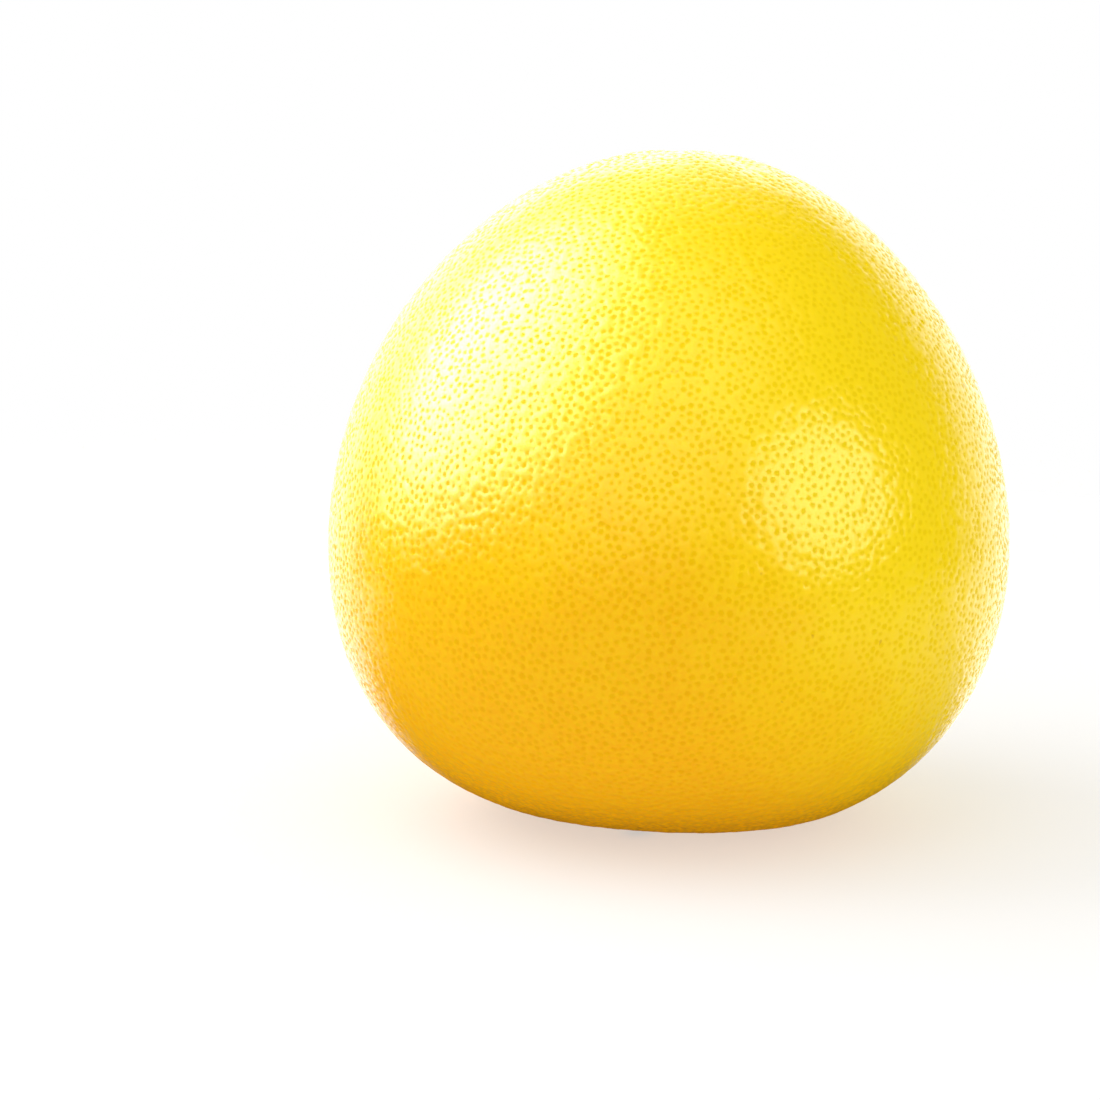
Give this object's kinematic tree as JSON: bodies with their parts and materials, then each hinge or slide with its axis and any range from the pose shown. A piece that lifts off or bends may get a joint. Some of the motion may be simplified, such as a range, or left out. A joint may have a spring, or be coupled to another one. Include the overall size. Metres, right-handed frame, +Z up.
{
  "type": "pomelo",
  "caption": "Whole yellow pomelo with a waxy, dimpled rind, narrower at the stem, standing on its flattened blossom end.",
  "frame": {"origin": "middle of the fruit's width and depth, on the flat spot that it rests on", "axes": "+Z up, away from the flat spot; the stem end leans back, towards +Y, and a little to the right, towards +X"},
  "size_m": [0.15, 0.1502, 0.1467],
  "materials": {
    "rind": "waxy yellow citrus rind, satin, dimpled all over by oil glands",
    "dry_stem": "dry grey-brown stem disc and cut stalk, matt"
  },
  "bodies": {
    "root": {"fruit": "rind", "stem_button": "dry_stem"}
  },
  "joints": []
}
